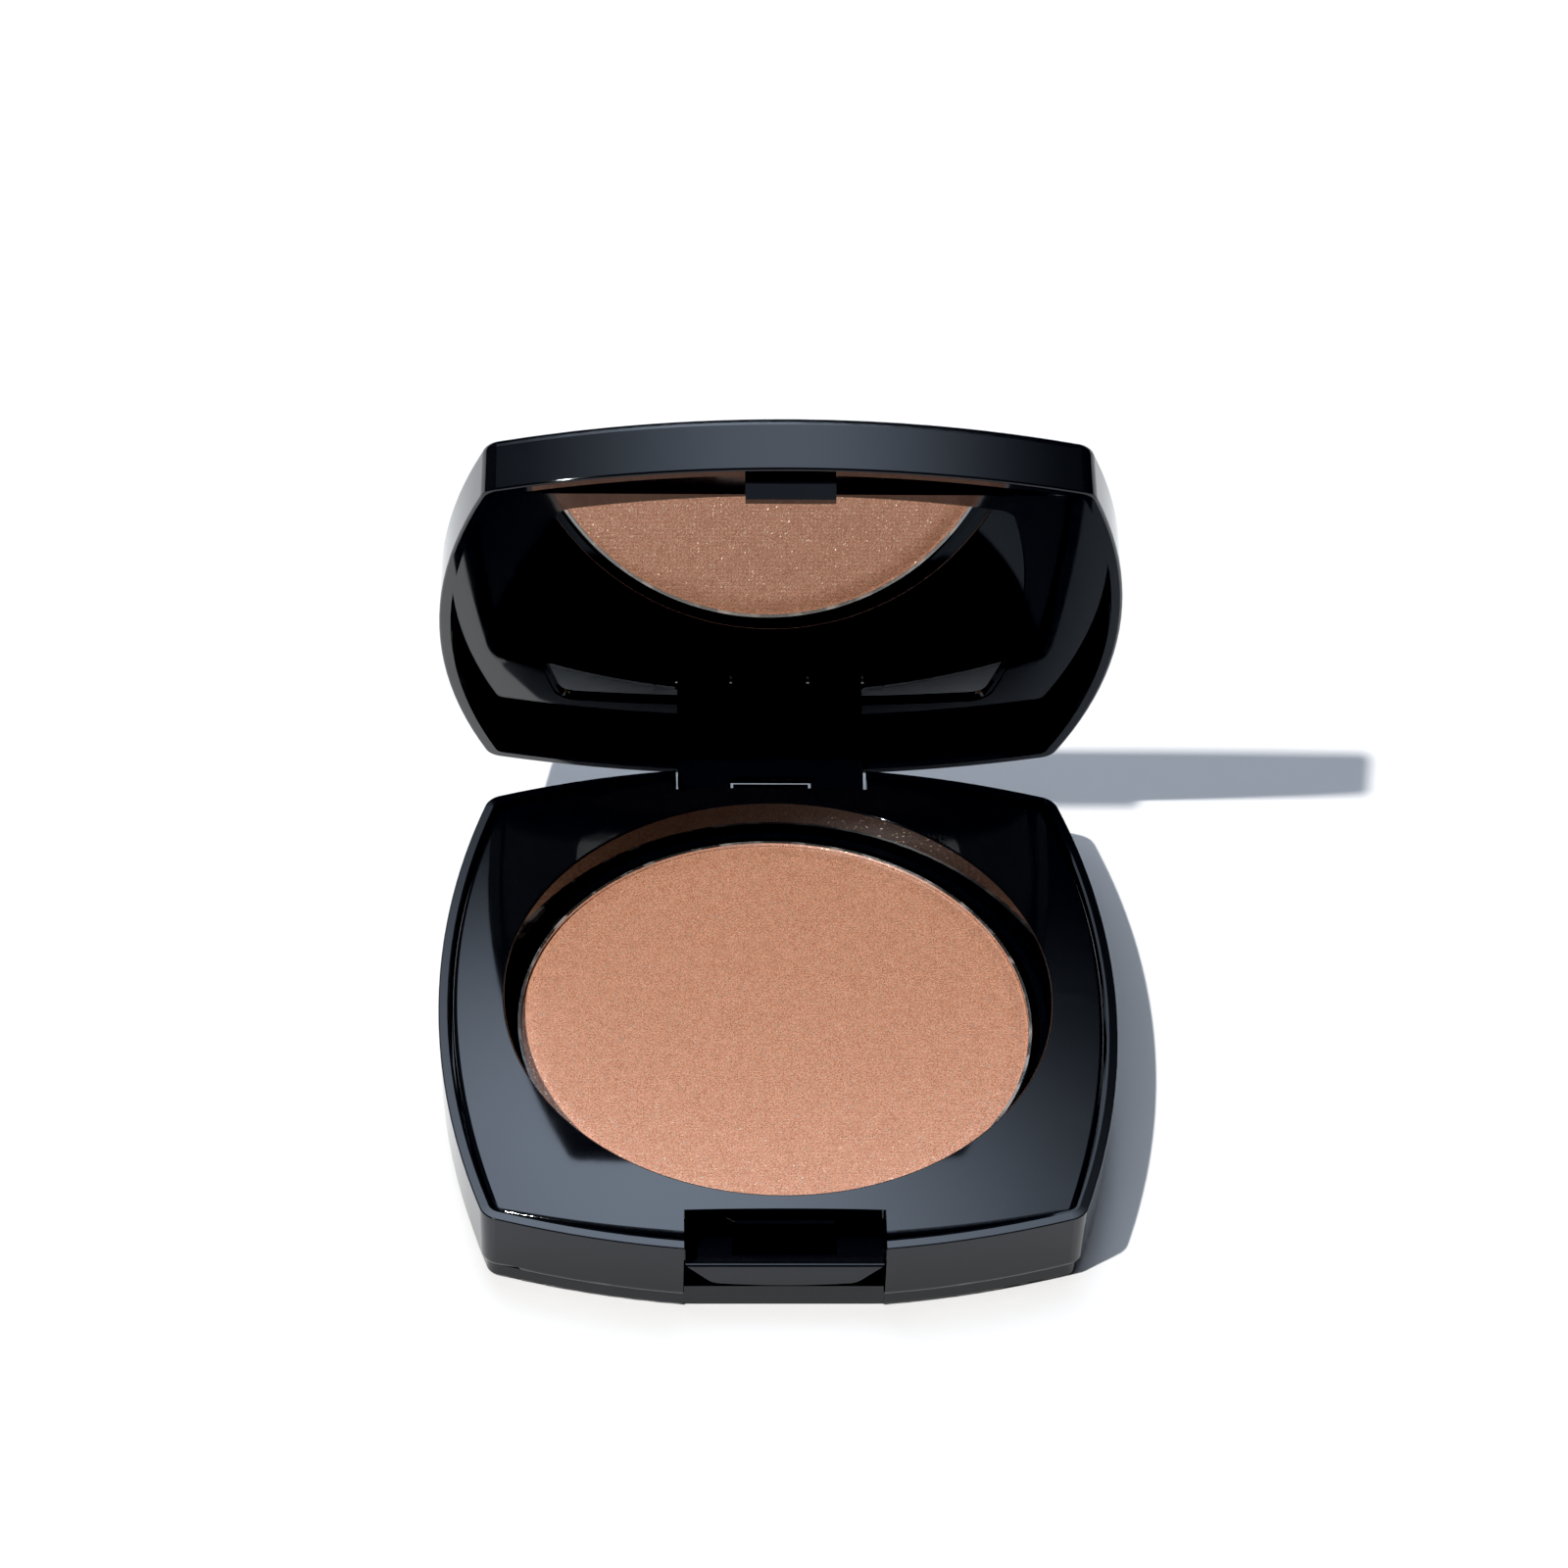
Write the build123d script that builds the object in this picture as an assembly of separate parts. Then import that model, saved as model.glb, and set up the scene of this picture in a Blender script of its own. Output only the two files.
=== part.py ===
"""Powder compact: a bowed square case with a hinged mirror lid, a push latch and a round pan of powder.

Frame, in millimetres: +X to the right, -Y towards the user, +Z up. The origin is the centre of the
underside, on the table. The lid is modelled shut and then turned to its rest angle about the hinge.
"""

import os
from math import radians, sqrt, tan

from build123d import *

# Case outline: a square whose four sides are all the same arc
SIDE = 77.6  # across the middle of two opposite sides
BOW_R = 105.0  # radius of each side
CORNER_R = 2.6

# Heights
FOOT_H = 2.0  # inset foot under the case
BASE_H = 10.4  # table to the rim of the base
RIM_GAP = 0.45  # between the two rims with the lid shut
LID_H = 6.8  # height of the lid's wall
LID_DOME_R = 1500.0  # gentle crown of the lid's top
LID_CROWN = 0.5  # rise of that crown in the middle
LID_EDGE_R = 1.2
LID_TOP_SPAN = 1.5  # every edge of the top lies within this height
DRAFT = 2.0  # degrees that the outer walls lean inwards away from the rims

# Wall thicknesses
RIM_W = 1.3
RIM_SLOPE_W = 1.0  # the base's rim falls outwards over this width
RIM_SLOPE_H = 0.15
RIM_ROUND = 0.15
LID_RIM_ROUND = 0.3
RIM_SEARCH = 6.0  # rim edges lie within this distance of the sides' middles
FLOOR_T = 0.9
LID_TOP_T = 1.1
TRAY_T = 1.5
TRAY_SKIRT_T = 1.0

# Base fittings
FOOT_INSET = 0.8
FOOT_WALL = 1.2
FOOT_EDGE_R = 0.4
HEEL_R = 0.9  # rolled lower edge of the case, just above the foot
LEDGE_W = 1.0  # step inside the wall that carries the tray
LEDGE_Z = 8.0
LABEL_R = 13.0
LABEL_T = 0.1
LABEL_Y = 17.0
LABEL_LIFT = 0.02  # the label's face sits this far above the table

# Inner tray
TRAY_FIT = 0.25  # gap from tray to wall
CROWN_R = 290.0
CROWN_TOP = 13.3  # height of the crown's pole, above the open well
TRAY_EDGE_R = 0.7
TRAY_EDGE_RISE = 2.5  # more than any edge around the tray's top climbs
WELL_R = 31.3
WELL_DRAFT = 3.0
WELL_WALL = 1.0
WELL_FLOOR_GAP = 0.05  # the tray rests this close to the case's floor
WELL_LEDGE_Z = 6.9
POCKET_R = 30.1
POCKET_Z = 3.8
WELL_EDGE_R = 0.2

# Powder and its pan
PAN_R = 29.5
PAN_OFFSET = -0.25  # the pan sits a little off the well's centre, along X
PAN_Z = 4.0
PAN_TOP = 7.0
PAN_WALL = 0.35
PAN_HEEL_R = 0.8
CAKE_TOP = 6.85
CAKE_HEEL_R = 0.5  # inner radius of the pan's heel, which the powder fills
CAKE_EDGE_R = 0.25
STICKER_R = 24.0
STICKER_HOLE_R = 16.0

# Hinge at the back
HINGE_Y = 36.9
HINGE_Z = 7.4
REST_OPEN = 69.0  # degrees that the lid stands open in the rest pose
HINGE_HALF = 11.25  # half width of the notch in the back wall
NOTCH_Y = 34.1  # front face of that notch
NOTCH_Z = 5.6  # floor of the notch
HINGE_RIB_H = 1.5  # ribs that hold the pin's ends, above the axis
KNUCKLE_R = 1.3
KNUCKLE_HALF = 4.45  # the middle knuckle, on the base
ARM_IN = 4.75  # each of the lid's two arms runs from ARM_IN to ARM_OUT
ARM_OUT = 11.0
ARM_Y0 = 35.6
ARM_Y1 = 37.9
ARM_TOP = 14.1
WEB_LIFT = 1.7  # lower edge of the web between the arms, above the axis
WEB_Y1 = 37.2
PIN_R = 0.6
PIN_HALF = 13.4
PIN_COVER = 0.4
PIN_CHAMFER = 0.15
PIN_TIGHT = 0.005  # gap around the pin where the base holds it
PIN_FREE = 0.05  # gap around the pin where the lid turns on it

# Latch at the front
LATCH_HALF = 11.2  # half width of the recess
LATCH_ROOM_BACK = -30.0  # the hollow around the button runs back to here, under the tray
LATCH_Y = -33.2  # back face of the recess, on the tray
CATCH_NICHE_Y = -32.85  # the tray is cut a little deeper behind the catch
CATCH_NICHE_Z = 10.5
BUTTON_HALF = 11.0
BUTTON_FRONT = -38.05
BUTTON_TOP = 7.3
BUTTON_PLATE_T = 0.6
BUTTON_FLOOR = 3.2
BUTTON_EDGE_R = 0.3
LIP_DEPTH = 1.1
LIP_H = 3.2  # the thumb lip's height at its middle
LIP_FLAT = 8.0  # from here it slopes up to nothing at both ends
LIP_FLAT_H = 2.8
LIP_CORNER_R = 2.0
SKIRT_Y = -33.75  # rear face of the button
SKIRT_T = 0.6
WINDOW_HALF = 5.75
WINDOW_Y = -36.4
CATCH_SIDE_GAP = 0.2
CATCH_ROOT = 0.5  # depth at which the catch is rooted in the plate
CATCH_TOP = 10.1
EAR_OUT = 12.6
EAR_ROOT = 1.4
EAR_LAP = 0.2
EAR_Y0 = -35.2
EAR_Y1 = -33.9
SILL_Y = -37.15
SILL_T = 1.4
SILL_H = 2.95
GUARD_HALF = 6.2  # a rib behind the sill that closes the view under the thumb lip
GUARD_Y0 = -36.05
GUARD_Y1 = -35.45
GUARD_H = 6.0
SPRING_HALF = 8.5
SPRING_Y = -32.6
SPRING_T = 0.15
SPRING_Z0 = 4.0
SPRING_H = 2.2

# Hook on the lid
HOOK_HALF = 4.95
HOOK_ROOT_Y = -36.9  # its front face slopes back from the root to the tip
HOOK_TIP_Y = -35.9
HOOK_T = 1.2
HOOK_TIP_Z = 8.7
HOOK_LAP = 0.2
BARB_Y = -34.5
BARB_H = 0.8
BARB_EASE = 0.4

# Mirror and its frame
FRAME_Z = 14.5  # face of the frame, lid shut
FRAME_FIT = 0.15
FRAME_RIB_W = 2.0
BROW_ANGLE = 8.0  # in front of the window the face slopes towards the rim by this much
WINDOW_STEP = 0.15  # the face is recessed this deep around the window
FRAME_T = 0.45  # what is left between that recess and the mirror
WINDOW_MID_Y = 0.7  # widest point of the window
WINDOW_HALF_X = 27.8
WINDOW_FRONT_Y = -25.3
WINDOW_BACK_Y = 27.2
WINDOW_SIDE_R = 95.0
WINDOW_FRONT_R = 90.0
WINDOW_BACK_R = 185.0
WINDOW_CORNER_R = 2.6
WINDOW_FLARE_W = 0.25  # the window opens outwards by this much through the frame
WINDOW_BACK_EASE = 0.1  # the same at its back edge
STEP_W = 0.7  # recess around the window
MIRROR_LAP = 1.2  # width of mirror hidden behind the frame
MIRROR_T = 1.0
MIRROR_FIT = 0.02
TAPE_T = 0.15
TAPE_SIZE = (40.0, 8.0)
TAPE_Y = 15.0

CLEAR = 0.3  # usual gap between neighbours that don't touch
LAP = 0.1  # overlap of blocks that are joined into one moulding

RIM_Z = BASE_H + RIM_GAP  # underside of the lid's wall, shut
LID_TOP_Z = RIM_Z + LID_H
LID_CEILING_Z = LID_TOP_Z - LID_TOP_T
MIRROR_Z = FRAME_Z + WINDOW_STEP + FRAME_T + MIRROR_FIT
HINGE = Axis((0, HINGE_Y, HINGE_Z), (-1, 0, 0))


def bowed_corner(half_x, half_y, radius):
    """Where a side arc bulging to half_x meets an end arc bulging to half_y, both of one radius."""
    dx = radius - half_x
    dy = radius - half_y
    span = sqrt(dx**2 + dy**2)
    reach = sqrt(radius**2 - span**2 / 4)
    return (-dx / 2 + reach * dy / span, -dy / 2 + reach * dx / span)


def bowed_face(z, inset=0.0, end_inset=None, corner=None):
    """The case outline at height z, drawn in by inset at the sides and end_inset at front and back."""
    end_inset = inset if end_inset is None else end_inset
    corner = max(CORNER_R - inset, 0.4) if corner is None else corner
    half_x = SIDE / 2 - inset
    half_y = SIDE / 2 - end_inset
    cx, cy = bowed_corner(half_x, half_y, BOW_R - inset)
    with BuildSketch(Plane.XY.offset(z)) as sketch:
        with BuildLine():
            ThreePointArc((cx, -cy), (half_x, 0), (cx, cy))
            ThreePointArc((cx, cy), (0, half_y), (-cx, cy))
            ThreePointArc((-cx, cy), (-half_x, 0), (-cx, -cy))
            ThreePointArc((-cx, -cy), (0, -half_y), (cx, -cy))
        make_face()
        fillet(sketch.vertices(), corner)
    return sketch.sketch


def four_arcs(z, half_x, front_y, back_y, radii, corner):
    """A face bounded by four outward arcs: two equal sides, and a front and a back of their own radius."""
    side_r, front_r, back_r = radii
    centre_x = half_x - side_r

    def meet(end_y, end_r):
        """Where the right side's arc crosses the end arc whose middle is at end_y."""
        towards = 1 if end_y > 0 else -1
        centre_y = end_y - towards * end_r
        span = sqrt(centre_x**2 + centre_y**2)
        along = (side_r**2 - end_r**2 + span**2) / (2 * span)
        off = sqrt(side_r**2 - along**2)
        ux = -centre_x / span
        uy = centre_y / span
        return (centre_x + along * ux + off * abs(uy), along * uy + towards * off * ux)

    fx, fy = meet(front_y, front_r)
    bx, by = meet(back_y, back_r)
    with BuildSketch(Plane.XY.offset(z)) as sketch:
        with BuildLine():
            ThreePointArc((fx, fy), (half_x, 0), (bx, by))
            ThreePointArc((bx, by), (0, back_y), (-bx, by))
            ThreePointArc((-bx, by), (-half_x, 0), (-fx, fy))
            ThreePointArc((-fx, fy), (0, front_y), (fx, fy))
        make_face()
        fillet(sketch.vertices(), corner)
    return sketch.sketch


def bowed_slab(z0, z1, inset=0.0, end_inset=None, corner=None, taper=0.0):
    """A plate of the case outline from z0 to z1; taper draws in the far face."""
    return extrude(bowed_face(z0, inset, end_inset, corner), z1 - z0, taper=taper)


def block(x0, x1, y0, y1, z0, z1):
    """A box between the given planes."""
    size = (x1 - x0, y1 - y0, z1 - z0)
    return Pos((x0 + x1) / 2, (y0 + y1) / 2, (z0 + z1) / 2) * Box(*size)


def disc(radius, z0, z1, x=0.0, y=0.0):
    """An upright cylinder."""
    return Pos(x, y, (z0 + z1) / 2) * Cylinder(radius, z1 - z0)


def rod_x(radius, x0, x1, y, z):
    """A cylinder that lies along X."""
    return Pos((x0 + x1) / 2, y, z) * Rot(0, 90, 0) * Cylinder(radius, x1 - x0)


def edges_at(solid, z):
    """The edges that lie flat at height z."""
    return solid.edges().filter_by(lambda e: abs(e.bounding_box().min.Z - z) < 1e-4
                                   and abs(e.bounding_box().max.Z - z) < 1e-4)


def outer_rim_edges(solid, z):
    """The edges at height z that run around the outside of the case."""
    reach = SIDE / 2 - RIM_SEARCH
    return edges_at(solid, z).filter_by(lambda e: max(abs(e.center().X), abs(e.center().Y)) > reach)


def mirrored_pair(solid):
    """The solid and its image across the compact's middle plane."""
    return solid + mirror(solid, Plane.YZ)


def base_outer():
    """The base's outer block: drafted wall, rolled lower edge and a rim that falls a little outwards."""
    wall_top = BASE_H - RIM_SLOPE_H
    body = bowed_slab(wall_top, FOOT_H, taper=DRAFT)
    body = fillet(outer_rim_edges(body, FOOT_H), HEEL_R)
    body += loft([bowed_face(wall_top), bowed_face(BASE_H, RIM_SLOPE_W)], ruled=True)
    return fillet(outer_rim_edges(body, wall_top), RIM_ROUND)


def base_shell():
    """Lower case: wall, rim, floor, tray ledge, hinge ribs and the middle knuckle."""
    floor_z = FOOT_H + FLOOR_T
    shell = base_outer() - bowed_slab(LEDGE_Z, BASE_H + 1, RIM_W)
    shell -= bowed_slab(floor_z, LEDGE_Z + 1, RIM_W + LEDGE_W)
    room_half = EAR_OUT + CLEAR
    room_front = -SIDE / 2 + RIM_W + 2 * CLEAR
    shell -= block(-room_half, room_half, room_front, LATCH_ROOM_BACK, floor_z, LEDGE_Z + 1)
    shell -= block(-LATCH_HALF, LATCH_HALF, -SIDE, GUARD_Y1 + LAP, FOOT_H - 1, BASE_H + 1)
    shell -= block(-HINGE_HALF, HINGE_HALF, NOTCH_Y, SIDE, NOTCH_Z, BASE_H + 1)
    rib_top = HINGE_Z + HINGE_RIB_H
    rib = block(HINGE_HALF, PIN_HALF + PIN_COVER, NOTCH_Y, HINGE_Y + 1, floor_z - LAP, rib_top)
    shell += mirrored_pair(rib)
    shell += middle_knuckle(floor_z)
    bore = rod_x(PIN_R + PIN_TIGHT, -PIN_HALF, PIN_HALF, HINGE_Y, HINGE_Z)
    return shell - bore


def middle_knuckle(floor_z):
    """The base's own knuckle, on a foot that blends into the floor."""
    barrel = rod_x(KNUCKLE_R, -KNUCKLE_HALF, KNUCKLE_HALF, HINGE_Y, HINGE_Z)
    foot = block(-KNUCKLE_HALF, KNUCKLE_HALF, HINGE_Y - KNUCKLE_R, HINGE_Y + KNUCKLE_R,
                 floor_z - LAP, HINGE_Z)
    return barrel + foot


def bottom_plate():
    """The foot: a dished plate under the case, with the latch recess's sill standing up from it."""
    plate = bowed_slab(0, FOOT_H, FOOT_INSET)
    plate = fillet(outer_rim_edges(plate, 0), FOOT_EDGE_R)
    plate -= bowed_slab(FLOOR_T, FOOT_H + 1, FOOT_INSET + FOOT_WALL)
    plate -= block(-LATCH_HALF, LATCH_HALF, -SIDE, SILL_Y, -1, FOOT_H + 1)
    sill_half = LATCH_HALF - LAP
    plate += block(-sill_half, sill_half, SILL_Y, SILL_Y + SILL_T, FLOOR_T / 2, SILL_H)
    plate += block(-GUARD_HALF, GUARD_HALF, GUARD_Y0, GUARD_Y1, FLOOR_T / 2, GUARD_H)
    return plate - disc(LABEL_R + CLEAR, -1, LABEL_LIFT + LABEL_T, y=LABEL_Y)


def base_label():
    """A plain round label, sunk in the underside."""
    return disc(LABEL_R, LABEL_LIFT, LABEL_LIFT + LABEL_T, y=LABEL_Y)


def crown(drop=0.0):
    """The ball whose top is the tray's crowned face, lowered by drop."""
    return Pos(0, 0, CROWN_TOP - CROWN_R) * Sphere(CROWN_R - drop)


def tray_skin():
    """The crowned face with its rounded edge, hollow underneath, with a skirt down to the ledge."""
    inset = RIM_W + TRAY_FIT
    body = bowed_slab(LEDGE_Z, CROWN_TOP, inset) & crown()
    top_edges = body.edges().filter_by(lambda e: e.bounding_box().min.Z > LEDGE_Z + LAP
                                       and e.bounding_box().size.Z < TRAY_EDGE_RISE)
    body = fillet(top_edges, TRAY_EDGE_R)
    hollow = bowed_slab(LEDGE_Z - 1, CROWN_TOP, inset + TRAY_SKIRT_T) & crown(TRAY_T)
    return body - hollow


def well_body():
    """The outside of the well that the tray hangs into the base."""
    low_z = FOOT_H + FLOOR_T + WELL_FLOOR_GAP
    return disc(WELL_R + WELL_WALL, low_z, CROWN_TOP) & crown(TRAY_T / 2)


def well_hollow():
    """The drafted well, its ledge and the pocket that the pan lies in."""
    top_z = CROWN_TOP + 1
    depth = top_z - WELL_LEDGE_Z
    edge_z = CROWN_TOP - (CROWN_R - sqrt(CROWN_R**2 - WELL_R**2))
    slope = tan(radians(WELL_DRAFT))
    low_r = WELL_R - (edge_z - WELL_LEDGE_Z) * slope
    cone = Pos(0, 0, WELL_LEDGE_Z + depth / 2) * Cone(low_r, low_r + depth * slope, depth)
    return cone + disc(POCKET_R, POCKET_Z, WELL_LEDGE_Z + 1)


def inner_tray():
    """Crowned tray with the powder well, and the cut-outs for the latch and the hinge."""
    tray = tray_skin() + well_body() - well_hollow()
    tray -= block(-LATCH_HALF, LATCH_HALF, -SIDE, LATCH_Y, 0, CROWN_TOP + 1)
    tray -= block(-WINDOW_HALF, WINDOW_HALF, LATCH_Y - 1, CATCH_NICHE_Y, 0, CATCH_NICHE_Z)
    tray -= block(-HINGE_HALF, HINGE_HALF, NOTCH_Y, SIDE, 0, CROWN_TOP + 1)
    rib_room = PIN_HALF + PIN_COVER + CLEAR
    tray -= block(-rib_room, rib_room, NOTCH_Y - CLEAR, SIDE, 0, HINGE_Z + HINGE_RIB_H + CLEAR)
    well_edge = tray.edges().filter_by(GeomType.CIRCLE).filter_by(
        lambda e: abs(e.radius - WELL_R) < LAP / 2 and e.center().Z > LEDGE_Z)
    return fillet(well_edge, WELL_EDGE_R)


def powder_pan():
    """Pressed aluminium godet with a softly rounded lower edge."""
    pan = disc(PAN_R, PAN_Z, PAN_TOP, PAN_OFFSET)
    pan = fillet(pan.edges().filter_by(GeomType.CIRCLE).sort_by(Axis.Z)[0], PAN_HEEL_R)
    inner = disc(PAN_R - PAN_WALL, PAN_Z + PAN_WALL, PAN_TOP + 1, PAN_OFFSET)
    inner = fillet(inner.edges().filter_by(GeomType.CIRCLE).sort_by(Axis.Z)[0], CAKE_HEEL_R)
    return pan - inner


def powder_cake():
    """Pressed powder that fills the pan to just under its rim, with an eased upper edge."""
    cake = disc(PAN_R - PAN_WALL, PAN_Z + PAN_WALL, CAKE_TOP, PAN_OFFSET)
    rings = cake.edges().filter_by(GeomType.CIRCLE).sort_by(Axis.Z)
    return fillet(rings[0], CAKE_HEEL_R).fillet(CAKE_EDGE_R, [rings[-1]])


def pan_sticker():
    """Ring of adhesive film that holds the pan down."""
    ring = disc(STICKER_R, POCKET_Z, PAN_Z, PAN_OFFSET)
    return ring - disc(STICKER_HOLE_R, POCKET_Z - 1, PAN_Z + 1, PAN_OFFSET)


def thumb_lip():
    """The button's front lip: straight along the top, a wide flat underside and sloping ends."""
    foot_z = BUTTON_TOP - LIP_H
    flat_z = BUTTON_TOP - LIP_FLAT_H
    with BuildSketch(Plane.XZ.offset(-BUTTON_FRONT)) as face:
        with BuildLine():
            Line((-BUTTON_HALF, BUTTON_TOP), (-LIP_FLAT, flat_z))
            ThreePointArc((-LIP_FLAT, flat_z), (0, foot_z), (LIP_FLAT, flat_z))
            Line((LIP_FLAT, flat_z), (BUTTON_HALF, BUTTON_TOP))
            Line((BUTTON_HALF, BUTTON_TOP), (-BUTTON_HALF, BUTTON_TOP))
        make_face()
        fillet(face.vertices().filter_by(lambda v: v.Y < BUTTON_TOP - LAP), LIP_CORNER_R)
    return extrude(face.sketch, -LIP_DEPTH)


def latch_button():
    """Push button: plate with the hook's window, thumb lip, rear skirt, stop ears and the catch."""
    plate_z = BUTTON_TOP - BUTTON_PLATE_T
    plate_y = BUTTON_FRONT + LIP_DEPTH - LAP
    plate = block(-BUTTON_HALF, BUTTON_HALF, plate_y, SKIRT_Y, plate_z, BUTTON_TOP)
    skirt = block(-BUTTON_HALF, BUTTON_HALF, SKIRT_Y - SKIRT_T, SKIRT_Y, BUTTON_FLOOR, BUTTON_TOP)
    ear_x = BUTTON_HALF - EAR_ROOT
    ear_top = plate_z + EAR_LAP
    ear = block(ear_x, EAR_OUT, EAR_Y0, EAR_Y1, BUTTON_FLOOR, ear_top)
    ear += block(ear_x, BUTTON_HALF, EAR_Y0, SKIRT_Y, BUTTON_FLOOR, ear_top)
    button = plate + skirt + thumb_lip() + mirrored_pair(ear)
    button -= block(-WINDOW_HALF, WINDOW_HALF, WINDOW_Y, SKIRT_Y - SKIRT_T, plate_z - 1, BUTTON_TOP + 1)
    catch_half = WINDOW_HALF - CATCH_SIDE_GAP
    catch_z = BUTTON_TOP - CATCH_ROOT
    button += block(-catch_half, catch_half, SKIRT_Y - SKIRT_T, SKIRT_Y, catch_z, CATCH_TOP)
    top_front = button.edges().filter_by(Axis.X).filter_by(
        lambda e: abs(e.center().Y - BUTTON_FRONT) < 1e-3 and abs(e.center().Z - BUTTON_TOP) < 1e-3)
    return fillet(top_front, BUTTON_EDGE_R)


def latch_spring():
    """Bowed steel strip between the button's skirt and the wall of the well."""
    ends_y = SKIRT_Y + SPRING_T
    with BuildSketch(Plane.XY.offset(SPRING_Z0)) as strip:
        with BuildLine():
            outer = ThreePointArc((-SPRING_HALF, ends_y), (0, SPRING_Y), (SPRING_HALF, ends_y))
            offset(outer, SPRING_T, side=Side.RIGHT)
        make_face()
    return extrude(strip.sketch, SPRING_H)


def hinge_pin():
    """Steel pin through all the knuckles."""
    pin = rod_x(PIN_R, -PIN_HALF + LAP, PIN_HALF - LAP, HINGE_Y, HINGE_Z)
    return chamfer(pin.edges().filter_by(GeomType.CIRCLE), PIN_CHAMFER)


def lid_outer():
    """The lid's outer block: drafted wall, crowned top, soft upper edge."""
    body = bowed_slab(RIM_Z, LID_TOP_Z + 1, taper=DRAFT)
    body &= Pos(0, 0, LID_TOP_Z + LID_CROWN - LID_DOME_R) * Sphere(LID_DOME_R)
    top_edges = body.edges().filter_by(lambda e: e.bounding_box().min.Z > LID_TOP_Z - LID_TOP_SPAN)
    body = fillet(top_edges, LID_EDGE_R)
    return fillet(outer_rim_edges(body, RIM_Z), LID_RIM_ROUND)


def hinge_arm():
    """One of the lid's two arms, from the back wall down to its knuckle."""
    arm = block(ARM_IN, ARM_OUT, ARM_Y0, ARM_Y1, HINGE_Z, ARM_TOP)
    arm += rod_x(KNUCKLE_R, ARM_IN, ARM_OUT, HINGE_Y, HINGE_Z)
    return arm - rod_x(PIN_R + PIN_FREE, 0, ARM_OUT + 1, HINGE_Y, HINGE_Z)


def hinge_web():
    """The plate between the two arms, which fills the base's notch above the middle knuckle."""
    web = block(-ARM_IN, ARM_IN, ARM_Y0, WEB_Y1, HINGE_Z + WEB_LIFT, ARM_TOP)
    return web - rod_x(KNUCKLE_R + CLEAR, -ARM_IN, ARM_IN, HINGE_Y, HINGE_Z)


def lid_shell():
    """Upper case, with the two hinge arms and the web between them moulded on."""
    shell = lid_outer() - bowed_slab(RIM_Z - 1, LID_CEILING_Z, RIM_W)
    return shell + mirrored_pair(hinge_arm()) + hinge_web()


def window_outline(z, grow=0.0, back_grow=None):
    """The mirror window's outline at height z, larger by grow, or at the back by back_grow."""
    back_grow = grow if back_grow is None else back_grow
    front_y = WINDOW_FRONT_Y - grow - WINDOW_MID_Y
    back_y = WINDOW_BACK_Y + back_grow - WINDOW_MID_Y
    radii = (WINDOW_SIDE_R + grow, WINDOW_FRONT_R + grow, WINDOW_BACK_R + grow)
    outline = four_arcs(z, WINDOW_HALF_X + grow, front_y, back_y, radii, WINDOW_CORNER_R + grow)
    return Pos(0, WINDOW_MID_Y, 0) * outline


def window_opening(mirror_z):
    """The hole in front of the mirror, which opens a little towards the frame's face."""
    behind = window_outline(mirror_z + LAP)
    ahead = window_outline(FRAME_Z - LAP, WINDOW_FLARE_W, WINDOW_BACK_EASE)
    return loft([behind, ahead], ruled=True)


def mirror_hook():
    """The hook that the latch holds, with its barb pointing to the back."""
    root_z = FRAME_Z + HOOK_LAP
    barb_z = HOOK_TIP_Z + BARB_H
    with BuildSketch(Plane.YZ.offset(-HOOK_HALF)) as profile:
        with BuildLine():
            Polyline((HOOK_ROOT_Y, root_z), (HOOK_TIP_Y, HOOK_TIP_Z), (BARB_Y - BARB_EASE, HOOK_TIP_Z),
                     (BARB_Y, HOOK_TIP_Z + BARB_EASE), (BARB_Y, barb_z),
                     (HOOK_TIP_Y + HOOK_T / 2, barb_z + BARB_EASE),
                     (HOOK_ROOT_Y + HOOK_T, root_z), close=True)
        make_face()
    return extrude(profile.sketch, 2 * HOOK_HALF)


def window_recess():
    """The shallow step around the window, without one at the back."""
    outline = window_outline(FRAME_Z + WINDOW_STEP, STEP_W, WINDOW_BACK_EASE)
    return extrude(outline, -WINDOW_STEP - LAP)


def frame_brow(inset):
    """The wedge in front of the window, whose face slopes towards the lid's rim."""
    start_y = WINDOW_FRONT_Y - STEP_W - LAP
    rise = (SIDE / 2 + start_y) * tan(radians(BROW_ANGLE))
    with BuildSketch(Plane.YZ.offset(-SIDE / 2)) as profile:
        with BuildLine():
            Polyline((start_y, FRAME_Z), (start_y, FRAME_Z + LAP), (-SIDE / 2, FRAME_Z + LAP),
                     (-SIDE / 2, FRAME_Z - rise), close=True)
        make_face()
    return extrude(profile.sketch, SIDE) & bowed_slab(FRAME_Z - rise, FRAME_Z + LAP, inset)


def mirror_frame():
    """Liner of the lid: face with the mirror window in its recess, sloping brow, outer rib and hook."""
    inset = RIM_W + FRAME_FIT
    mirror_z = FRAME_Z + WINDOW_STEP + FRAME_T
    frame = bowed_slab(FRAME_Z, mirror_z, inset)
    rib = bowed_slab(mirror_z - LAP, LID_CEILING_Z - LAP / 2, inset)
    rib -= bowed_slab(mirror_z - 1, LID_CEILING_Z + 1, inset + FRAME_RIB_W)
    frame += rib
    frame -= window_recess()
    frame -= window_opening(mirror_z)
    return frame + frame_brow(inset) + mirror_hook()


def mirror_plate():
    """The glass mirror, held behind the frame."""
    return extrude(window_outline(MIRROR_Z, MIRROR_LAP), MIRROR_T)


def mirror_tape(y):
    """One strip of double-sided tape between the mirror and the lid."""
    z0 = MIRROR_Z + MIRROR_T
    width, depth = TAPE_SIZE
    return block(-width / 2, width / 2, y - depth / 2, y + depth / 2, z0, z0 + TAPE_T)


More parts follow.
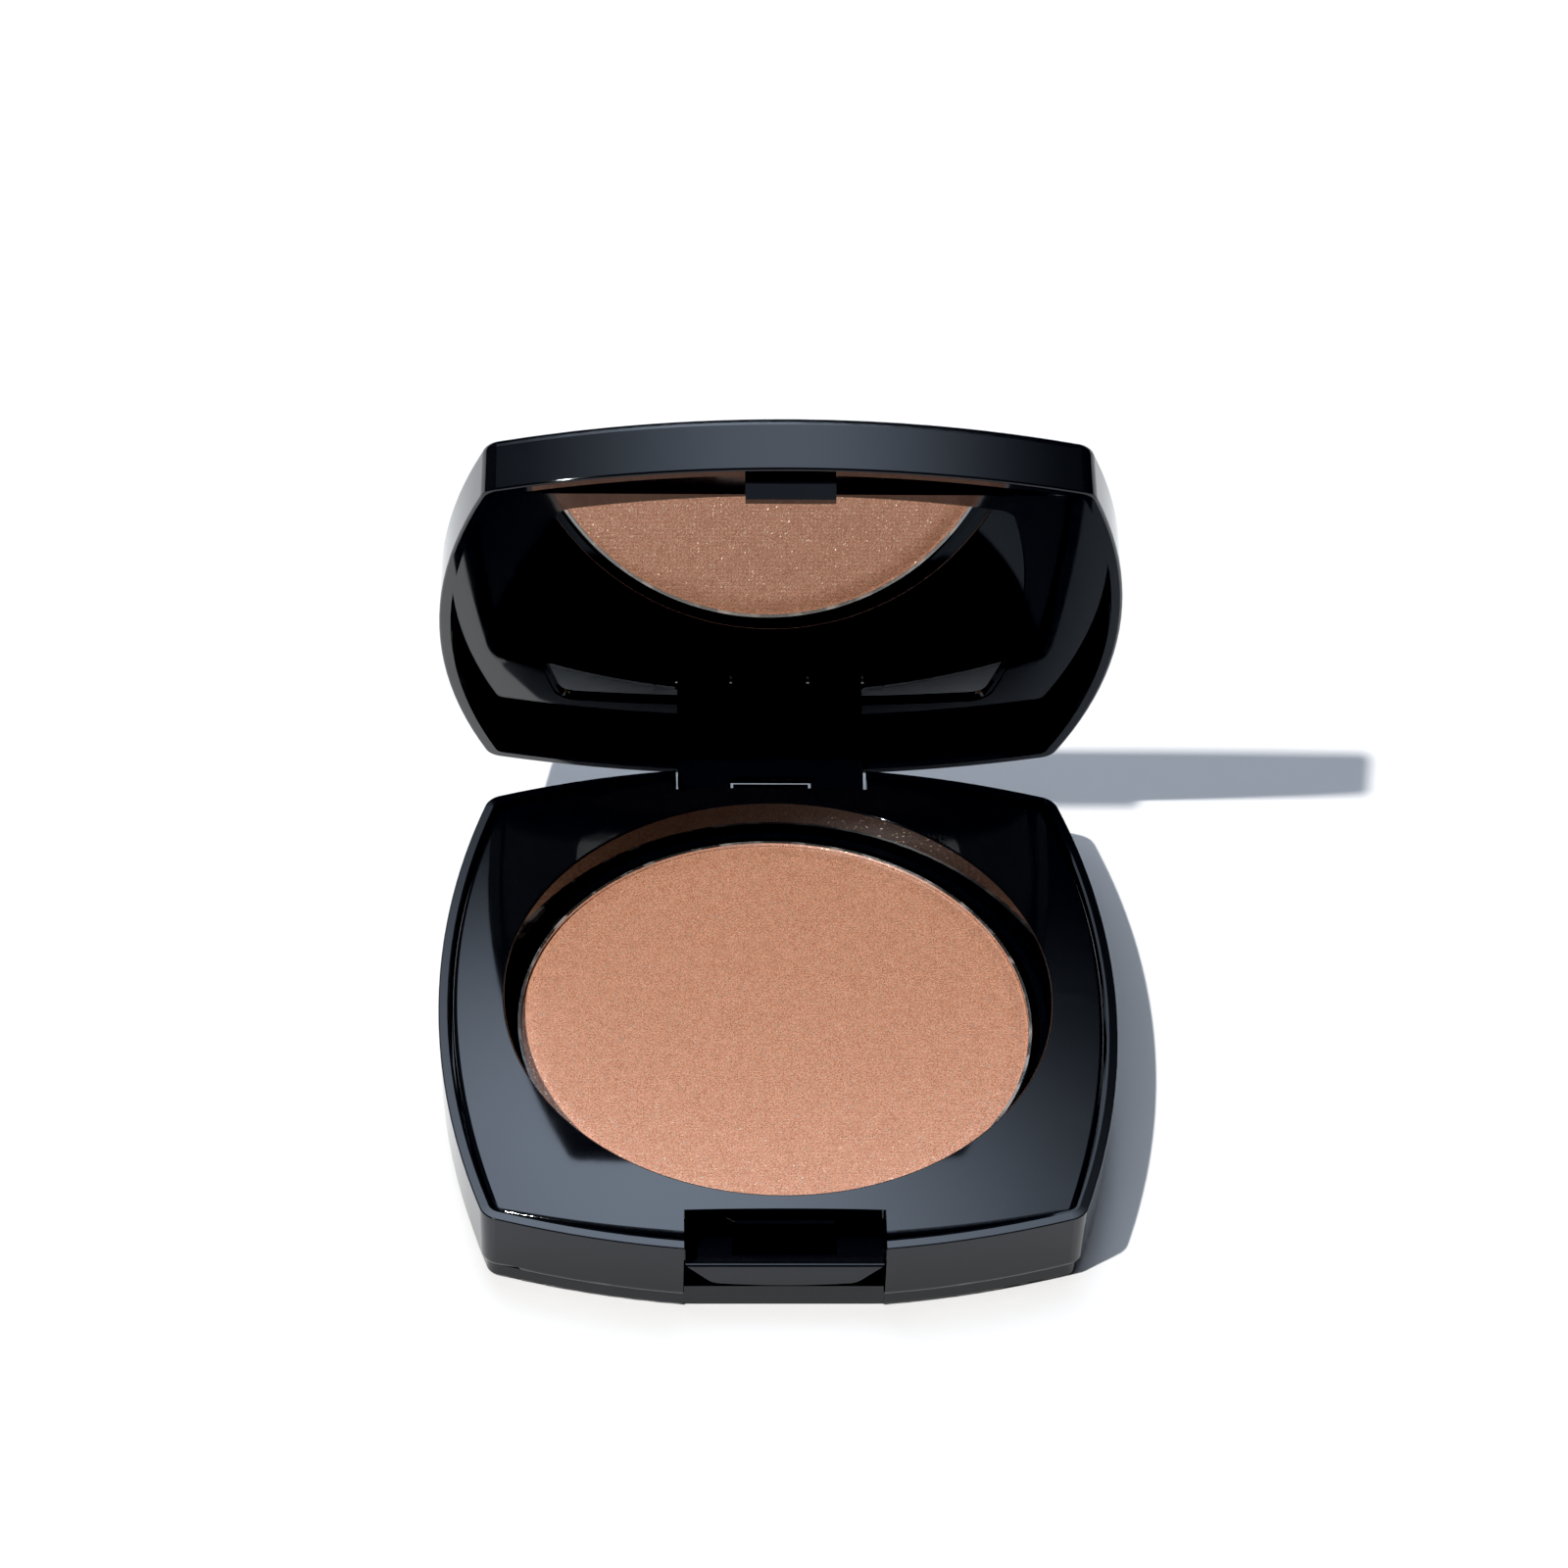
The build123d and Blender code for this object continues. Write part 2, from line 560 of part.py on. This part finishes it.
def opened(solid):
    """A piece of the lid, turned from shut to the rest angle."""
    return solid.rotate(HINGE, REST_OPEN)


PARTS = {
    "base_shell": base_shell(),
    "bottom_plate": bottom_plate(),
    "base_label": base_label(),
    "inner_tray": inner_tray(),
    "powder_pan": powder_pan(),
    "powder_cake": powder_cake(),
    "pan_sticker": pan_sticker(),
    "latch_button": latch_button(),
    "latch_spring": latch_spring(),
    "hinge_pin": hinge_pin(),
    "lid_shell": opened(lid_shell()),
    "mirror_frame": opened(mirror_frame()),
    "mirror": opened(mirror_plate()),
    "mirror_tape_front": opened(mirror_tape(-TAPE_Y)),
    "mirror_tape_back": opened(mirror_tape(TAPE_Y)),
}

os.makedirs("parts", exist_ok=True)
for node, solid in PARTS.items():
    export_step(solid, f"parts/{node}.step")
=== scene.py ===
"""Looks of the powder compact: camera, studio light, floor, materials and the finely meshed pieces.

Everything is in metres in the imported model's own frame: +X right, -Y towards the user, +Z up.
"""

import math

import bpy
from mathutils import Matrix, Vector, noise


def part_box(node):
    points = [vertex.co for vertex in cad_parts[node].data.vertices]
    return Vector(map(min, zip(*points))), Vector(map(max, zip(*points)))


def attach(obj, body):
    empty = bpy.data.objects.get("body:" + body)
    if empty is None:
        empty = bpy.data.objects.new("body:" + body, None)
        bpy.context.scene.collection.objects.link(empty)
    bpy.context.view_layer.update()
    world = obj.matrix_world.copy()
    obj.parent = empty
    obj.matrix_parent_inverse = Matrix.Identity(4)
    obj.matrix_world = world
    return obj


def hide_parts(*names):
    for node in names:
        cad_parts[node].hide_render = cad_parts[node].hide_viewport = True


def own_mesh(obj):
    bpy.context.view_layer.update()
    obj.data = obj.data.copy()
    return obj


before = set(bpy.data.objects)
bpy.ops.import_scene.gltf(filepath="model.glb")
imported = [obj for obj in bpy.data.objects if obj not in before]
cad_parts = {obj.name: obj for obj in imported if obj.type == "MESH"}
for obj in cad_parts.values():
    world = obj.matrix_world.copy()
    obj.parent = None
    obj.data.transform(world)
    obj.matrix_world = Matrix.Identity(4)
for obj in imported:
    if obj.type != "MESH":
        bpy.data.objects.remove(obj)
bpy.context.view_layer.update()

MM = 0.001

# Camera: where it looks, how far away it is, and how it is turned
LOOK_AT = Vector((0.268, 10.0, 34.988)) * MM
CAMERA_AZIMUTH = -2.779
CAMERA_ELEVATION = 43.694
CAMERA_ROLL = 2.086
CAMERA_DISTANCE = 729.706 * MM
FOCAL_MM = 148.45
SENSOR_MM = 36.0
CAMERA_CLIP = (0.01, 20.0)

# Studio light
KEY_AZIMUTH = -52.5
KEY_ELEVATION = 57.4
KEY_DISTANCE = 3.4
KEY_SIZE = 0.08
KEY_POWER = 137.0
KEY_COLOUR = (1.0, 0.985, 0.96)
SCRIM_HEIGHT = 3.6
SCRIM_EDGES = (-1.0, 1.0, -0.8, 2.4)  # in scrim heights
GLOW_CENTRE = (-0.08, 0.6)
GLOW_LEAN = -0.258
GLOW_SIZE = (0.334, 0.512)
GLOW_STRENGTH = 4.58
GLOW_COLOUR = (0.88, 0.99, 1.17)
WORLD_COLOUR = (0.9, 0.95, 1.0)
WORLD_STRENGTH = 0.01
BLACK_LEVEL = 0.003  # the picture's black point
FLOOR_HALF = 4.0

# Grain of the materials: the usual size of one wave, in millimetres
PEEL_WAVE = 1.6  # gentle waviness of moulded gloss plastic
SMUDGE_WAVE = 9.0
SCRATCH_WAVE = 0.12
TURNING_PITCH = 0.05
DUST_WAVE = 2.5
DRAWING_WAVE = 0.07
POWDER_GRAIN = 0.16
POWDER_MOTTLE = 1.3
SHIMMER_SIZE = 0.13
CLOTH_PITCH = 0.47  # weave that the press cloth leaves in the powder
PAPER_FIBRE = 0.35
PORE_WAVE = 0.18
FILM_TINT_WAVE = 3.0
FILM_HAZE_WAVE = 1.0
FILM_RIPPLE_WAVE = 2.2
FLOOR_WAVE = 3.0

# Depth of the relief that each grain gives, in millimetres
PEEL_DEPTH = 0.0006
TURNING_DEPTH = 0.002
DRAWING_DEPTH = 0.003
POWDER_DEPTH = 0.045
CLOTH_SHARE = 0.04  # of the powder's relief
PAPER_DEPTH = 0.01
PORE_DEPTH = 0.02
FILM_DEPTH = 0.01

# Colours: each pair is the two ends of a material's own variation
PLASTIC_TONES = ((0.0026, 0.0028, 0.0036), (0.0034, 0.0038, 0.005))
PLASTIC_GLINT = (0.88, 0.94, 1.0)
PLASTIC_IOR = 1.47
MIRROR_TONES = ((0.5, 0.49, 0.47), (0.475, 0.466, 0.45))
ALUMINIUM_TONES = ((0.74, 0.73, 0.72), (0.86, 0.85, 0.84))
STEEL_TONES = ((0.5, 0.51, 0.53), (0.68, 0.69, 0.7))
POWDER_TONES = ((0.39, 0.142, 0.07), (0.81, 0.42, 0.275))
SHIMMER_TONE = (1.0, 0.74, 0.55)
DUST_TONE = (0.5, 0.27, 0.17)
PAPER_TONES = ((0.72, 0.72, 0.7), (0.84, 0.84, 0.83))
PRINT_TONE = (0.2, 0.2, 0.21)
FOAM_TONES = ((0.45, 0.45, 0.43), (0.78, 0.78, 0.76))
FILM_TONES = ((0.66, 0.64, 0.56), (0.78, 0.77, 0.7))
FLOOR_TONES = ((0.8, 0.8, 0.8), (0.82, 0.82, 0.82))

# Stretch of a grain into lines along X
HAIRLINE = (0.06, 1.0, 1.0)
DRAWN_LINE = (0.05, 1.0, 1.0)

# Ring printed on the label, in millimetres
PRINT_INSET = 1.2
PRINT_HALF_WIDTH = 0.12

# The pressed powder's own shape, in millimetres
CAKE_SEGMENTS = 480
CAKE_RING = 0.25  # spacing of its rings of vertices
CAKE_MARGIN = 2.3  # the face falls away towards the pan over this width
CAKE_FALL = 0.3
CAKE_EDGE_R = 0.15
CAKE_EDGE_STEPS = 4
CAKE_RIPPLE = 0.012
CAKE_RIPPLE_WAVE = 1.1
CAKE_FIT = 0.02

# Latch spring, in millimetres
SPRING_T = 0.15
SPRING_SEGMENTS = 48


def direction(azimuth, elevation):
    """Unit vector from the object towards a place at that azimuth (0 is the front, -Y) and height."""
    a = math.radians(azimuth)
    e = math.radians(elevation)
    return Vector((math.sin(a) * math.cos(e), -math.cos(a) * math.cos(e), math.sin(e)))


def link(obj):
    bpy.context.scene.collection.objects.link(obj)
    return obj


def make_camera():
    data = bpy.data.cameras.new("camera")
    data.lens = FOCAL_MM
    data.sensor_width = SENSOR_MM
    data.clip_start, data.clip_end = CAMERA_CLIP
    camera = link(bpy.data.objects.new("camera", data))
    back = direction(CAMERA_AZIMUTH, CAMERA_ELEVATION)
    right = Vector((0, 0, 1)).cross(back).normalized()
    up = back.cross(right)
    roll = math.radians(CAMERA_ROLL)
    x = right * math.cos(roll) + up * math.sin(roll)
    y = up * math.cos(roll) - right * math.sin(roll)
    turn = Matrix((x, y, back)).transposed().to_4x4()
    camera.matrix_world = Matrix.Translation(LOOK_AT + back * CAMERA_DISTANCE) @ turn
    bpy.context.scene.camera = camera


def math_node(nodes, links, operation, *inputs):
    """A Math node; each input is a number or another node's output."""
    node = nodes.new("ShaderNodeMath")
    node.operation = operation
    for socket, value in zip(node.inputs, inputs):
        if isinstance(value, bpy.types.NodeSocket):
            links.new(value, socket)
        else:
            socket.default_value = value
    return node.outputs[0]


def aim(obj, towards, distance):
    """Puts a lamp at that distance on that side of the object, facing it."""
    obj.location = towards * distance
    obj.rotation_mode = "QUATERNION"
    obj.rotation_quaternion = towards.to_track_quat("Z", "Y")


def make_key():
    """The small hard lamp at the front left, which draws the shadows."""
    data = bpy.data.lights.new("key", "AREA")
    data.shape = "DISK"
    data.size = KEY_SIZE
    data.energy = KEY_POWER
    data.color = KEY_COLOUR
    lamp = link(bpy.data.objects.new("key", data))
    aim(lamp, direction(KEY_AZIMUTH, KEY_ELEVATION), KEY_DISTANCE)


def make_scrim():
    """A level diffusing sheet above and behind the object; the lamp over it makes one soft glow."""
    mesh = bpy.data.meshes.new("scrim")
    x0, x1, y0, y1 = SCRIM_EDGES
    corners = [(x0, y0, 0), (x0, y1, 0), (x1, y1, 0), (x1, y0, 0)]
    mesh.from_pydata(corners, [], [(0, 1, 2, 3)])
    scrim = link(bpy.data.objects.new("scrim", mesh))
    scrim.location = (0, 0, SCRIM_HEIGHT)
    scrim.scale = (SCRIM_HEIGHT, SCRIM_HEIGHT, 1)
    m = bpy.data.materials.new("scrim_glow")
    m.use_nodes = True
    nodes, links = m.node_tree.nodes, m.node_tree.links
    nodes.clear()
    split = nodes.new("ShaderNodeSeparateXYZ")
    links.new(nodes.new("ShaderNodeTexCoord").outputs["Object"], split.inputs[0])
    away_y = math_node(nodes, links, "SUBTRACT", split.outputs["Y"], GLOW_CENTRE[1])
    lean = math_node(nodes, links, "MULTIPLY", away_y, -GLOW_LEAN)
    away_x = math_node(nodes, links, "SUBTRACT", split.outputs["X"], GLOW_CENTRE[0])
    away_x = math_node(nodes, links, "ADD", away_x, lean)
    u = math_node(nodes, links, "DIVIDE", away_x, GLOW_SIZE[0])
    v = math_node(nodes, links, "DIVIDE", away_y, GLOW_SIZE[1])
    uu = math_node(nodes, links, "MULTIPLY", u, u)
    vv = math_node(nodes, links, "MULTIPLY", v, v)
    fall = math_node(nodes, links, "MULTIPLY", math_node(nodes, links, "ADD", uu, vv), -1.0)
    glow = math_node(nodes, links, "EXPONENT", fall)
    strength = math_node(nodes, links, "MULTIPLY", glow, GLOW_STRENGTH)
    shader = nodes.new("ShaderNodeEmission")
    shader.inputs["Color"].default_value = (*GLOW_COLOUR, 1)
    links.new(strength, shader.inputs["Strength"])
    out = nodes.new("ShaderNodeOutputMaterial")
    links.new(shader.outputs[0], out.inputs["Surface"])
    scrim.data.materials.append(m)


def make_world():
    world = bpy.data.worlds.new("studio")
    world.use_nodes = True
    background = world.node_tree.nodes["Background"]
    background.inputs["Color"].default_value = (*WORLD_COLOUR, 1)
    background.inputs["Strength"].default_value = WORLD_STRENGTH
    bpy.context.scene.world = world


def make_lights():
    make_key()
    make_scrim()
    make_world()


class Graph:
    """One material's node tree, with short ways to add the nodes that the materials here share."""

    def __init__(self, name):
        self.material = bpy.data.materials.new(name)
        self.material.use_nodes = True
        self.nodes = self.material.node_tree.nodes
        self.links = self.material.node_tree.links
        self.shader = self.nodes["Principled BSDF"]
        self.place = self.nodes.new("ShaderNodeTexCoord").outputs["Object"]

    def set(self, **values):
        """Sets uniform values on the shader's own sockets; an underscore stands for a space."""
        for name, value in values.items():
            self.shader.inputs[name.replace("_", " ")].default_value = value

    def join(self, output, name):
        self.links.new(output, self.shader.inputs[name])

    def math(self, operation, *inputs):
        return math_node(self.nodes, self.links, operation, *inputs)

    def axis(self, name):
        """The X, Y or Z of the point, in metres."""
        split = self.nodes.new("ShaderNodeSeparateXYZ")
        self.links.new(self.place, split.inputs[0])
        return split.outputs[name]

    def radius(self, centre):
        """The point's distance from an upright line through that centre, in metres."""
        x = self.math("SUBTRACT", self.axis("X"), centre.x)
        y = self.math("SUBTRACT", self.axis("Y"), centre.y)
        return self.math("SQRT", self.math("ADD", self.math("MULTIPLY", x, x), self.math("MULTIPLY", y, y)))

    def stretched(self, scale):
        """The point's place, stretched along the axes by those factors."""
        mapping = self.nodes.new("ShaderNodeMapping")
        mapping.inputs["Scale"].default_value = scale
        self.links.new(self.place, mapping.inputs["Vector"])
        return mapping.outputs[0]

    def noise(self, wave, detail=2.0, place=None):
        """Noise whose waves are about that many millimetres long, from 0 to 1."""
        node = self.nodes.new("ShaderNodeTexNoise")
        node.inputs["Scale"].default_value = 1.0 / (wave * MM)
        node.inputs["Detail"].default_value = detail
        self.links.new(place or self.place, node.inputs["Vector"])
        return node.outputs["Fac"]

    def cells(self, size):
        """A random number from 0 to 1 for each small cell of that size in millimetres."""
        node = self.nodes.new("ShaderNodeTexVoronoi")
        node.inputs["Scale"].default_value = 1.0 / (size * MM)
        self.links.new(self.place, node.inputs["Vector"])
        split = self.nodes.new("ShaderNodeSeparateColor")
        self.links.new(node.outputs["Color"], split.inputs[0])
        return split.outputs[0]

    def spread(self, value, low, high, to_low=0.0, to_high=1.0):
        """value from low..high mapped to to_low..to_high, and held there."""
        node = self.nodes.new("ShaderNodeMapRange")
        sockets = ("From Min", "From Max", "To Min", "To Max")
        for socket, number in zip(sockets, (low, high, to_low, to_high)):
            node.inputs[socket].default_value = number
        self.links.new(value, node.inputs["Value"])
        return node.outputs["Result"]

    def blend(self, factor, a, b):
        """Colour a where factor is 0, b where it is 1; each is a colour or an output."""
        node = self.nodes.new("ShaderNodeMix")
        node.data_type = "RGBA"
        self.links.new(factor, node.inputs["Factor"])
        for socket, colour in ((node.inputs[6], a), (node.inputs[7], b)):
            if isinstance(colour, bpy.types.NodeSocket):
                self.links.new(colour, socket)
            else:
                socket.default_value = (*colour, 1)
        return node.outputs[2]

    def bump(self, height, depth):
        """Raises the surface by up to depth millimetres where height is 1."""
        node = self.nodes.new("ShaderNodeBump")
        node.inputs["Strength"].default_value = 1.0
        node.inputs["Distance"].default_value = depth * MM
        self.links.new(height, node.inputs["Height"])
        self.join(node.outputs[0], "Normal")


def gloss_plastic(name, roughness, scratches):
    """Moulded black plastic: a gentle waviness, finger smudges and hairline rub marks in the gloss."""
    g = Graph(name)
    g.join(g.blend(g.noise(SMUDGE_WAVE), *PLASTIC_TONES), "Base Color")
    smudge = g.spread(g.noise(SMUDGE_WAVE, 4.0), 0.4, 0.75, 0.0, 0.03)
    rub = g.noise(SCRATCH_WAVE, 1.0, g.stretched(HAIRLINE))
    hairline = g.spread(rub, 0.72, 0.8, 0.0, scratches)
    g.join(g.math("ADD", g.math("ADD", smudge, hairline), roughness), "Roughness")
    g.set(IOR=PLASTIC_IOR, Specular_Tint=(*PLASTIC_GLINT, 1))
    g.bump(g.noise(PEEL_WAVE, 1.0), PEEL_DEPTH)
    return g.material


def mirror_glass(name):
    """Silvered glass with the faintest haze of finger marks."""
    g = Graph(name)
    haze = g.spread(g.noise(SMUDGE_WAVE, 3.0), 0.45, 0.8)
    g.join(g.blend(haze, *MIRROR_TONES), "Base Color")
    g.join(g.math("MULTIPLY", haze, 0.012), "Roughness")
    g.set(Metallic=1.0)
    return g.material


def turned_aluminium(name, centre):
    """Spun aluminium: rings around the centre, dusted with powder here and there."""
    g = Graph(name)
    rings = g.nodes.new("ShaderNodeTexNoise")
    rings.noise_dimensions = "1D"
    rings.inputs["Scale"].default_value = 1.0 / (TURNING_PITCH * MM)
    g.links.new(g.radius(centre), rings.inputs["W"])
    ring = rings.outputs["Fac"]
    dust = g.spread(g.noise(DUST_WAVE, 3.0), 0.5, 0.7, 0.0, 0.3)
    g.join(g.blend(dust, g.blend(ring, *ALUMINIUM_TONES), DUST_TONE), "Base Color")
    g.join(g.math("SUBTRACT", 1.0, dust), "Metallic")
    shine = g.spread(ring, 0.3, 0.7, 0.2, 0.34)
    g.join(g.math("ADD", shine, g.math("MULTIPLY", dust, 0.4)), "Roughness")
    g.bump(ring, TURNING_DEPTH)
    return g.material


def drawn_steel(name):
    """Bright steel with fine drawing lines along X."""
    g = Graph(name)
    lines = g.noise(DRAWING_WAVE, 2.0, g.stretched(DRAWN_LINE))
    g.join(g.blend(lines, *STEEL_TONES), "Base Color")
    g.join(g.spread(lines, 0.3, 0.7, 0.18, 0.36), "Roughness")
    g.set(Metallic=1.0)
    g.bump(lines, DRAWING_DEPTH)
    return g.material


def pressed_powder(name):
    """Pressed blusher: fine grains of several tones, a print of the press cloth and shimmer flakes."""
    g = Graph(name)
    grain = g.noise(POWDER_GRAIN, 1.5)
    mottle = g.noise(POWDER_MOTTLE, 2.0)
    tone = g.math("ADD", g.math("MULTIPLY", grain, 0.88), g.math("MULTIPLY", mottle, 0.12))
    body = g.blend(g.spread(tone, 0.34, 0.66), *POWDER_TONES)
    flake = g.spread(g.cells(SHIMMER_SIZE), 0.95, 0.96)
    g.join(g.blend(flake, body, SHIMMER_TONE), "Base Color")
    g.join(g.spread(flake, 0.0, 1.0, 0.5, 0.3), "Roughness")
    g.join(g.spread(flake, 0.0, 1.0, 0.15, 0.75), "Metallic")
    g.set(Coat_Weight=1.0, Coat_Roughness=0.42)
    turn = 2 * math.pi / (CLOTH_PITCH * MM)
    warp = g.math("SINE", g.math("MULTIPLY", g.axis("X"), turn))
    weft = g.math("SINE", g.math("MULTIPLY", g.axis("Y"), turn))
    cloth = g.math("MULTIPLY", g.math("ADD", warp, g.math("MULTIPLY", weft, 2.0)), CLOTH_SHARE)
    g.bump(g.math("ADD", grain, cloth), POWDER_DEPTH)
    return g.material


def label_paper(name, centre, radius):
    """White label stock with fibres, and a thin grey ring printed near its edge."""
    g = Graph(name)
    off = g.math("ABSOLUTE", g.math("SUBTRACT", g.radius(centre), radius - PRINT_INSET * MM))
    ring = g.math("LESS_THAN", off, PRINT_HALF_WIDTH * MM)
    fibres = g.noise(PAPER_FIBRE, 4.0)
    g.join(g.blend(ring, g.blend(fibres, *PAPER_TONES), PRINT_TONE), "Base Color")
    g.set(Roughness=0.55)
    g.bump(fibres, PAPER_DEPTH)
    return g.material


def foam_tape(name):
    """White foam tape with open pores at its cut edges."""
    g = Graph(name)
    pores = g.spread(g.noise(PORE_WAVE), 0.35, 0.6)
    g.join(g.blend(pores, *FOAM_TONES), "Base Color")
    g.set(Roughness=0.8)
    g.bump(pores, PORE_DEPTH)
    return g.material


def adhesive_film(name):
    """Thin clear film of adhesive, a little yellow and rippled."""
    g = Graph(name)
    g.join(g.blend(g.noise(FILM_TINT_WAVE), *FILM_TONES), "Base Color")
    g.join(g.spread(g.noise(FILM_HAZE_WAVE), 0.3, 0.7, 0.3, 0.5), "Roughness")
    g.bump(g.noise(FILM_RIPPLE_WAVE), FILM_DEPTH)
    return g.material


def floor_paper(name):
    """Matt white studio paper."""
    g = Graph(name)
    g.join(g.blend(g.noise(FLOOR_WAVE, 3.0), *FLOOR_TONES), "Base Color")
    g.set(Roughness=0.9)
    return g.material


def paint(node, finish):
    """Gives a CAD node its material."""
    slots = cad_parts[node].data.materials
    slots.clear()
    slots.append(finish)


def paint_frame():
    """Materials of the CAD nodes that stay as they are."""
    for node in ("base_shell", "lid_shell"):
        paint(node, gloss_plastic(node, roughness=0.035, scratches=0.05))
    for node in ("inner_tray", "mirror_frame", "latch_button"):
        paint(node, gloss_plastic(node, roughness=0.045, scratches=0.03))
    paint("bottom_plate", gloss_plastic("bottom_plate", roughness=0.1, scratches=0.15))
    paint("mirror", mirror_glass("mirror"))
    low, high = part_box("powder_pan")
    paint("powder_pan", turned_aluminium("powder_pan", (low + high) / 2))
    paint("hinge_pin", drawn_steel("hinge_pin"))
    low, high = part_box("base_label")
    paint("base_label", label_paper("base_label", (low + high) / 2, (high.x - low.x) / 2))
    paint("pan_sticker", adhesive_film("pan_sticker"))
    for node in ("mirror_tape_front", "mirror_tape_back"):
        paint(node, foam_tape(node))


def mesh_object(name, points, faces, finish):
    mesh = bpy.data.meshes.new(name)
    mesh.from_pydata(points, [], faces)
    mesh.materials.append(finish)
    mesh.shade_smooth()
    return link(bpy.data.objects.new(name, mesh))


def cake_profile(radius, low, high):
    """(r, z) from the middle of the face to the middle of the underside, in metres."""
    edge = CAKE_EDGE_R * MM
    start = radius - CAKE_MARGIN * MM
    flat = radius - edge
    rings = int(flat / (CAKE_RING * MM))
    profile = []
    for i in range(1, rings + 1):
        r = flat * i / rings
        fall = max(0.0, (r - start) / (flat - start))
        profile.append((r, high - CAKE_FALL * MM * fall**2))
    lip = profile[-1][1]
    for i in range(1, CAKE_EDGE_STEPS + 1):
        a = math.pi / 2 * i / CAKE_EDGE_STEPS
        profile.append((flat + edge * math.sin(a), lip - edge * (1 - math.cos(a))))
    profile.append((radius, low + edge))
    profile.append((flat, low))
    return profile


def make_cake():
    """The pressed powder: level in the middle, falling away to the pan, with a faint ripple."""
    low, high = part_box("powder_cake")
    centre = (low + high) / 2
    radius = (high.x - low.x) / 2 - CAKE_FIT * MM
    profile = cake_profile(radius, low.z, high.z)
    points = [(centre.x, centre.y, high.z)]
    for r, z in profile:
        for k in range(CAKE_SEGMENTS):
            a = 2 * math.pi * k / CAKE_SEGMENTS
            x = centre.x + r * math.cos(a)
            y = centre.y + r * math.sin(a)
            wave = noise.noise(Vector((x, y, 0)) / (CAKE_RIPPLE_WAVE * MM))
            ripple = CAKE_RIPPLE * MM * wave if z > centre.z and r < radius - CAKE_EDGE_R * MM else 0.0
            points.append((x, y, z + ripple))
    n = CAKE_SEGMENTS
    faces = [(0, 1 + k, 1 + (k + 1) % n) for k in range(n)]
    for ring in range(len(profile) - 1):
        a = 1 + ring * n
        b = a + n
        for k in range(n):
            m = (k + 1) % n
            faces.append((a + k, b + k, b + m, a + m))
    last = 1 + (len(profile) - 1) * n
    faces.append(tuple(last + k for k in reversed(range(n))))
    cake = mesh_object("pressed_powder", points, faces, pressed_powder("powder_cake"))
    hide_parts("powder_cake")
    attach(cake, "base")


def make_spring():
    """The bowed steel strip, which the button flattens against the well."""
    low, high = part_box("latch_spring")
    half = (high.x - low.x) / 2
    t = SPRING_T * MM
    rise = high.y - low.y - t
    radius = (half**2 + rise**2) / (2 * rise)
    reach = math.asin(half / radius)
    bevel = t / 4
    section = [(-t / 2, low.z + bevel), (-t / 2, high.z - bevel), (-t / 2 + bevel, high.z),
               (t / 2 - bevel, high.z), (t / 2, high.z - bevel), (t / 2, low.z + bevel),
               (t / 2 - bevel, low.z), (-t / 2 + bevel, low.z)]
    middle_y = high.y - t / 2
    points = []
    for i in range(SPRING_SEGMENTS + 1):
        a = reach * (2 * i / SPRING_SEGMENTS - 1)
        for away, z in section:
            r = radius + away
            points.append((r * math.sin(a), middle_y - radius + r * math.cos(a), z))
    n = len(section)
    faces = [tuple(range(n)), tuple(SPRING_SEGMENTS * n + k for k in reversed(range(n)))]
    for i in range(SPRING_SEGMENTS):
        for k in range(n):
            m = (k + 1) % n
            faces.append((i * n + k, (i + 1) * n + k, (i + 1) * n + m, i * n + m))
    spring = mesh_object("steel_spring", points, faces, drawn_steel("latch_spring"))
    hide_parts("latch_spring")
    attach(spring, "base")
    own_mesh(spring)


def make_floor():
    mesh = bpy.data.meshes.new("floor")
    corners = [(-FLOOR_HALF, -FLOOR_HALF, 0), (FLOOR_HALF, -FLOOR_HALF, 0),
               (FLOOR_HALF, FLOOR_HALF, 0), (-FLOOR_HALF, FLOOR_HALF, 0)]
    mesh.from_pydata(corners, [], [(0, 1, 2, 3)])
    floor = link(bpy.data.objects.new("floor", mesh))
    floor.data.materials.append(floor_paper("floor_paper"))


def set_tones():
    """Plain colours, with the darkest shades taken down to black."""
    view = bpy.context.scene.view_settings
    view.view_transform = "Standard"
    view.use_curve_mapping = True
    view.curve_mapping.black_level = (BLACK_LEVEL, BLACK_LEVEL, BLACK_LEVEL)
    view.curve_mapping.update()


paint_frame()
make_cake()
make_spring()
make_camera()
make_lights()
make_floor()
set_tones()
